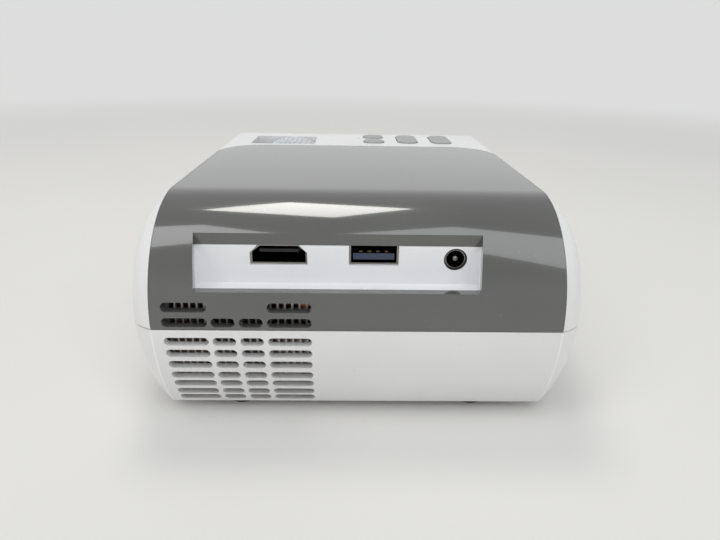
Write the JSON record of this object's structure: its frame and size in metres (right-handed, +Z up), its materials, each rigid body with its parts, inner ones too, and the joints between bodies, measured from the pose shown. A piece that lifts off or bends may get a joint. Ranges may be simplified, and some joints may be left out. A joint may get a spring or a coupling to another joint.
{
  "type": "projector with disc drive",
  "caption": "Small rounded video projector with a disc drive in its base, a wrapped gloss panel with a socket recess and vents at the back, keys on top and a focus ring.",
  "frame": {"origin": "on the ground plane, under the middle of the casing", "axes": "+Y from the back with the sockets towards the lens, +X to the right seen from the back, where the disc tray comes out, +Z up"},
  "size_m": [0.1352, 0.15, 0.0629],
  "materials": {
    "white_shell": "smooth, semi-gloss",
    "grey_gloss": "high gloss",
    "port_white": "fine matt",
    "key_grey": "satin",
    "inner_white": "matt",
    "dark_plastic": "matt",
    "ring_grey": "satin, ribbed",
    "foot_rubber": "matt",
    "steel": "plain steel",
    "socket_metal": "bright plated",
    "brass": "turned",
    "copper": "drawn copper",
    "aluminium": "stamped",
    "board_green": "lacquered",
    "clear_glass": "polished",
    "tinted_window": "dark red, clear",
    "socket_blue": "matt",
    "light_lens": "clear",
    "cone_paper": "pressed paper"
  },
  "bodies": {
    "casing": {"bottom_shell": "white_shell", "top_shell": "white_shell", "top_panel": "grey_gloss", "port_panel": "port_white", "rubber_feet": "foot_rubber", "case_screws": "steel", "tripod_bush": "brass", "inner_frame": "inner_white", "main_board": "board_green", "board_screws": "steel", "video_socket": "socket_metal", "video_tongue": "dark_plastic", "usb_socket": "socket_metal", "usb_tongue": "socket_blue", "power_jack": "dark_plastic", "power_pin": "socket_metal", "key_board": "board_green", "key_board_screws": "steel", "status_light": "light_lens", "fin_stack": "aluminium", "heat_pipes": "copper", "fan_frame": "dark_plastic", "fan_screws": "steel", "led_plate": "aluminium", "led_module": "board_green", "condenser_lens": "clear_glass", "light_box": "dark_plastic", "rear_fresnel": "clear_glass", "picture_panel": "dark_plastic", "picture_glass": "clear_glass", "front_fresnel": "clear_glass", "lens_holder": "dark_plastic", "lens_bezel": "dark_plastic", "receiver_window": "tinted_window", "drive_chassis": "steel", "drive_cover": "steel", "drive_screws": "steel", "speaker_frame": "steel", "speaker_cone": "cone_paper"},
    "tray": {"disc_tray": "dark_plastic", "tray_bezel": "white_shell", "spindle_motor": "steel", "guide_rods": "steel", "sled_motor": "steel"},
    "rails": {"tray_rails": "steel"},
    "hub": {"spindle_hub": "dark_plastic"},
    "sled": {"laser_sled": "dark_plastic", "laser_lens": "clear_glass"},
    "screw": {"lead_screw": "steel"},
    "eject": {"eject_button": "key_grey"},
    "key_back": {"back_key": "key_grey"},
    "key_enter": {"enter_key": "key_grey"},
    "key_source": {"source_rocker": "key_grey"},
    "key_volume": {"volume_rocker": "key_grey"},
    "lens": {"lens_barrel": "dark_plastic", "rear_lens": "clear_glass", "front_lens": "clear_glass"},
    "ring": {"focus_ring": "ring_grey"},
    "fan": {"fan_rotor": "dark_plastic"}
  },
  "joints": [
    {"name": "tray_slide", "type": "slide", "parent": "casing", "child": "tray", "axis": [1, 0, 0], "range_m": [0, 0.128]},
    {"name": "rail_slide", "type": "slide", "parent": "casing", "child": "rails", "axis": [1, 0, 0], "range_m": [0, 0.064]},
    {"name": "spindle_spin", "type": "hinge", "parent": "tray", "child": "hub", "pos_m": [0, 0.002, 0.0145], "axis": [0, 0, 1], "continuous": true},
    {"name": "sled_slide", "type": "slide", "parent": "tray", "child": "sled", "axis": [-1, 0, 0], "range_m": [0, 0.025]},
    {"name": "lead_screw_spin", "type": "hinge", "parent": "tray", "child": "screw", "pos_m": [-0.03, 0.028, 0.0117], "axis": [1, 0, 0], "range_deg": [0, 3001]},
    {"name": "eject_push", "type": "slide", "parent": "tray", "child": "eject", "axis": [-1, 0, 0], "range_m": [0, 0.0005], "stiffness_N_per_m": 400},
    {"name": "back_push", "type": "slide", "parent": "casing", "child": "key_back", "axis": [0, 0, -1], "range_m": [0, 0.0005], "stiffness_N_per_m": 400},
    {"name": "enter_push", "type": "slide", "parent": "casing", "child": "key_enter", "axis": [0, 0, -1], "range_m": [0, 0.0005], "stiffness_N_per_m": 400},
    {"name": "source_rock", "type": "hinge", "parent": "casing", "child": "key_source", "pos_m": [0.0224, 0.0465, 0.0589], "axis": [1, 0, 0], "range_deg": [-3, 3], "stiffness_Nm_per_rad": 0.05},
    {"name": "volume_rock", "type": "hinge", "parent": "casing", "child": "key_volume", "pos_m": [0.0372, 0.0465, 0.0589], "axis": [1, 0, 0], "range_deg": [-3, 3], "stiffness_Nm_per_rad": 0.05},
    {"name": "focus_turn", "type": "hinge", "parent": "casing", "child": "ring", "pos_m": [-0.0285, 0.042, 0.0431], "axis": [0, 1, 0], "range_deg": [-60.5, 60.5]},
    {"name": "lens_focus", "type": "slide", "parent": "casing", "child": "lens", "axis": [0, 1, 0], "range_m": [-0.0025, 0.0025]},
    {"name": "fan_spin", "type": "hinge", "parent": "casing", "child": "fan", "pos_m": [-0.0419, -0.0584, 0.0334], "axis": [0, 1, 0], "continuous": true}
  ],
  "couplings": [
    {"joint": "rail_slide", "follows": "tray_slide", "ratio": 0.5},
    {"joint": "lead_screw_spin", "follows": "sled_slide", "rad_per_m": 2094.4},
    {"joint": "focus_turn", "follows": "lens_focus", "rad_per_m": 418.88}
  ]
}
